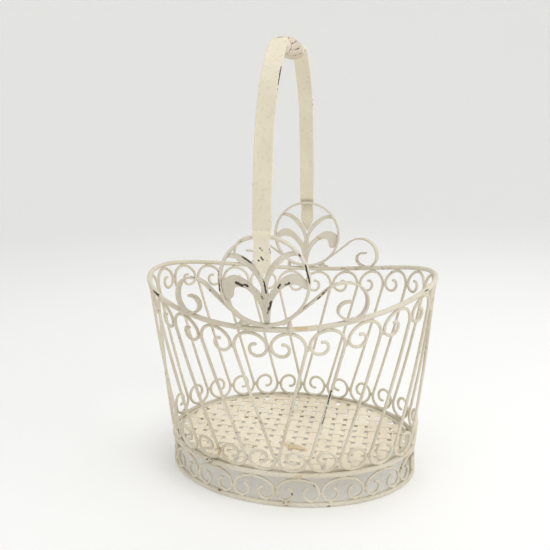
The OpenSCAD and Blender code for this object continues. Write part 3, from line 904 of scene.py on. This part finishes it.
def grip():
    """The spindle, and the painted shade in its flutes' creases and round its necks."""
    rings, sides = 201, 96
    steps = np.linspace(-1, 1, rings)
    middles = lean_points(np.array([(0, t * GRIP_LEN / 2, GRIP_Z) for t in steps]))
    up, along = lean(np.array([
        (0, -math.sin(TIP), math.cos(TIP)), (0, math.cos(TIP), math.sin(TIP)),
    ]))
    across = np.cross(along, up)
    verts, crease_shade = [], []
    for t, middle in zip(steps, middles):
        size = grip_size(t)
        fluted = min(1.0, max(0.0, (BODY_TO - abs(t)) / 0.05))
        neck = math.exp(-(((abs(t) - BODY_TO) / 0.018) ** 2))
        for j in range(sides):
            b = j * 2 * math.pi / sides
            wave = 2 * math.sqrt(abs(math.sin((b + GRIP_TWIST * t) * FLUTES / 2))) - 1
            r = size * (1 + FLUTE_DEPTH * fluted * min(wave, 0.6))
            verts.append(middle + r * (math.cos(b) * up + math.sin(b) * across))
            # Painted shade: the flutes' creases and the necks are darkened through the chip attribute.
            crease_shade.append(max(fluted * min(1.0, max(0.0, 1.4 * (0.3 - wave))), 0.9 * neck))
    faces = [
        [i * sides + j, (i + 1) * sides + j, (i + 1) * sides + (j + 1) % sides, i * sides + (j + 1) % sides]
        for i in range(rings - 1) for j in range(sides)
    ]
    faces += [list(range(sides)), [(rings - 1) * sides + j for j in range(sides - 1, -1, -1)]]
    return (np.array(verts), faces), np.array(crease_shade)


# The grip's creases and necks carry painted shade.
shape, crease_shade = grip()
piece("painted_grip", shape, GRIP_PAINT, ["grip"], crease_shade, smooth=60)


# ---- Welds: lumps of metal under the paint where the pieces meet ----


def unit_ball():
    bm = bmesh.new()
    bmesh.ops.create_icosphere(bm, subdivisions=2, radius=1)
    verts = np.array([v.co[:] for v in bm.verts])
    faces = [[v.index for v in f.verts] for f in bm.faces]
    bm.free()
    return verts, faces


BALL = unit_ball()


def bead(middle, along, out, radii, seed):
    """A lump that is longest along the joint. Its radii are along the joint, up and outward."""
    rng = np.random.default_rng(seed)
    along, out = unit(np.array(along, float)), unit(np.array(out, float))
    up = unit(np.cross(out, along))
    out = np.cross(along, up)
    verts, faces = BALL
    phase = rng.uniform(0, 6.28, 3)
    lumps = 1 + 0.1 * np.sin(verts @ rng.uniform(1.5, 3.5, (3, 3)) + phase).sum(axis=1) / 1.5
    size = np.array(radii) * rng.uniform(0.88, 1.12)
    placed = middle + (verts * size * lumps[:, None]) @ np.array([along, up, out])
    return placed, faces


def on_wall(place, x, y):
    points, refs = place.lay(np.array([[x - 0.5, y], [x, y], [x + 0.5, y]]))
    return points[1], points[2] - points[0], refs[1]


rim_beads, wall_beads, floor_beads, band_beads = [], [], [], []
for k, place in enumerate(places):
    spot = on_wall(place, TOP_SHIFT, place.high - WALL_HEAD + SCROLL_R * 0.8)
    rim_beads.append(bead(*spot, (4.2, 1.7, 2.3), 700 + k))
    spot = on_wall(place, 0, place.low - SCROLL_R * 0.7)
    floor_beads.append(bead(*spot, (4.0, 1.4, 2.2), 730 + k))
    pitch = RIM.length / WALL_COUNT / 2 * place.side
    middle, _, out = on_wall(place, pitch, place.high - WALL_HEAD - TOP_ARC_R)
    wall_beads.append(bead(middle, UP, out, (3.2, 1.3, 1.9), 760 + k))
    pitch = WALL.length / WALL_COUNT / 2 * place.side
    middle, _, out = on_wall(place, pitch, place.low + FOOT_ARC_R)
    wall_beads.append(bead(middle, UP, out, (3.0, 1.2, 1.9), 790 + k))

low_spot = C_HALF[np.argmin(C_HALF[:, 1])]
for k in range(BAND_COUNT):
    for i, (x, y, radii) in enumerate((
        (0, BAND_TOP + SCROLL_R * 0.8, (4.5, 1.5, 2.2)),
        (low_spot[0], low_spot[1] - SCROLL_R * 0.8, (3.4, 1.4, 2.1)),
        (-low_spot[0], low_spot[1] - SCROLL_R * 0.8, (3.4, 1.4, 2.1)),
    )):
        points, refs = on_band(k, np.array([[x - 0.5, y], [x, y], [x + 0.5, y]]))
        band_beads.append(bead(points[1], points[2] - points[0], refs[1], radii, 820 + 4 * k + i))
    widest = C_HALF[np.argmax(C_HALF[:, 0])]
    points, refs = on_band(k, np.array([[widest[0] + SCROLL_R, widest[1]]]))
    band_beads.append(bead(points[0], UP, refs[0], (3.4, 1.3, 2.0), 823 + 4 * k))

for name, beads, slot in (
    ("welds_under_rim", rim_beads, "ring_wire"),
    ("welds_between_wall_scrolls", wall_beads, "scroll_wire"),
    ("welds_on_floor_ring", floor_beads, "ring_wire"),
    ("welds_in_foot_band", band_beads, "scroll_wire"),
):
    piece(name, joined(beads), WIRE_PAINT, smooth=80)

for rear, word in ((False, "front"), (True, "rear")):
    turn = -1 if rear else 1
    side_x, out = np.array([turn, 0, 0]), np.array([0, -turn, 0])
    rim_y = np.array([0, -turn * RIM_B, 0])
    beads = [
        bead(rim_y + [turn * 2.5, 0, RIM_Z + 2.6], side_x, out, (6.2, 3.4, 3.6), 900 + rear),
        bead(rim_y + [turn * 27.5, 0, RIM_Z + 3.4], UP, out, (8.5, 2.2, 2.8), 902 + rear),
        bead(rim_y + [turn * -21, 0, RIM_Z + 7.0], side_x, out, (6.0, 3.0, 3.0), 904 + rear),
        bead(rim_y + [turn * -29, 0, RIM_Z + 4.0], side_x, out, (4.0, 2.4, 3.0), 906 + rear),
        bead(
            [0, -turn * (MEDAL_Y + MEDAL_W / 2 - 0.6), HOOP_TOP - 0.5], side_x, out, (9, 1.4, 0.9),
            908 + rear,
        ),
    ]
    rest = SIDE_PATH[SIDE_PATH[:, 0] > 60]
    x, y = rest[np.argmin(rest[:, 1])]
    for side in (-1, 1):
        share = (0.5 if rear else 0.0) + side * x / RIM.length
        xy = RIM.at(share)
        spot = np.array([*xy, rim_height(xy[0]) + (y + RING_R) / 2])
        face = outward(share)
        beads.append(bead(spot, np.cross(UP, face), face, (4.5, 1.8, 2.6), 910 + side + 2 * rear))
    piece(f"welds_medallion_{word}", joined(beads), BAR_PAINT_SHADED, smooth=80)


# ---- Camera, light and floor ----


def camera():
    azimuth = math.radians(10.586)
    distance, height = 746.854, 439.229
    yaw, pitch, roll = 0.025, math.radians(13.553), -0.019
    right0 = np.array([math.cos(azimuth), math.sin(azimuth), 0])
    ahead0 = np.array([-math.sin(azimuth), math.cos(azimuth), 0])
    right = math.cos(yaw) * right0 + math.sin(yaw) * ahead0
    flat = -math.sin(yaw) * right0 + math.cos(yaw) * ahead0
    ahead = math.cos(pitch) * flat - math.sin(pitch) * UP
    up = math.sin(pitch) * flat + math.cos(pitch) * UP
    across = math.cos(roll) * right + math.sin(roll) * up
    above = -math.sin(roll) * right + math.cos(roll) * up
    place = np.array([distance * math.sin(azimuth), -distance * math.cos(azimuth), height]) / METRE
    data = bpy.data.cameras.new("camera")
    data.lens = 39.12
    data.sensor_width = 36.0
    data.clip_start = 0.01
    obj = bpy.data.objects.new("camera", data)
    bpy.context.scene.collection.objects.link(obj)
    obj.matrix_world = Matrix([
        (*[axis[i] for axis in (across, above, -ahead)], place[i]) for i in range(3)
    ] + [(0, 0, 0, 1)])
    bpy.context.scene.camera = obj


def studio():
    """A floor that curves up into a pale round backdrop, so no horizon shows from any side."""
    profile = [(r, 0.0) for r in (0.0, 0.4, 0.9, 1.6, 2.2)]
    profile += [
        (2.2 + 1.2 * math.sin(a), 1.2 - 1.2 * math.cos(a)) for a in np.linspace(0, math.pi / 2, 10)[1:]
    ]
    profile.append((3.4, 2.6))
    n = 64
    verts = [
        (r * math.cos(2 * math.pi * j / n), r * math.sin(2 * math.pi * j / n), z)
        for r, z in profile[1:] for j in range(n)
    ]
    verts.append((0, 0, 0))
    faces = [
        [i * n + j, (i + 1) * n + j, (i + 1) * n + (j + 1) % n, i * n + (j + 1) % n]
        for i in range(len(profile) - 2) for j in range(n)
    ]
    faces += [[len(verts) - 1, j, (j + 1) % n] for j in range(n)]
    mesh = bpy.data.meshes.new("floor")
    mesh.from_pydata(verts, [], faces)
    mesh.shade_smooth()
    mat = bpy.data.materials.new("floor_paper")
    mat.use_nodes = True
    shader = mat.node_tree.nodes["Principled BSDF"]
    shader.inputs["Base Color"].default_value = (0.815, 0.815, 0.805, 1)
    shader.inputs["Roughness"].default_value = 0.9
    shader.inputs["Emission Color"].default_value = (1, 1, 0.985, 1)
    shader.inputs["Emission Strength"].default_value = 0.14
    mesh.materials.append(mat)
    obj = bpy.data.objects.new("floor", mesh)
    bpy.context.scene.collection.objects.link(obj)


def soft_light(name, place, aim, size, power):
    data = bpy.data.lights.new(name, "AREA")
    data.shape = "DISK"
    data.size = size
    data.energy = power
    obj = bpy.data.objects.new(name, data)
    bpy.context.scene.collection.objects.link(obj)
    ahead = unit(np.array(aim, float) - place)
    across = unit(np.cross(ahead, UP + [0, 0.01, 0]))
    above = np.cross(across, ahead)
    obj.matrix_world = Matrix([
        (*[axis[i] for axis in (across, above, -ahead)], place[i]) for i in range(3)
    ] + [(0, 0, 0, 1)])


camera()
studio()
soft_light("key", (1.5, -0.6, 1.6), (0, 0, 0.15), 1.3, 16)
soft_light("fill", (-1.3, -1.4, 1.2), (0, 0, 0.2), 1.6, 4.5)
soft_light("top", (0.1, 0.5, 2.1), (0, 0, 0.1), 1.6, 9)
world = bpy.data.worlds.new("world")
bpy.context.scene.world = world
world.use_nodes = True
world.node_tree.nodes["Background"].inputs["Color"].default_value = (1, 1, 0.99, 1)
world.node_tree.nodes["Background"].inputs["Strength"].default_value = 0.57
bpy.context.scene.view_settings.view_transform = "Standard"
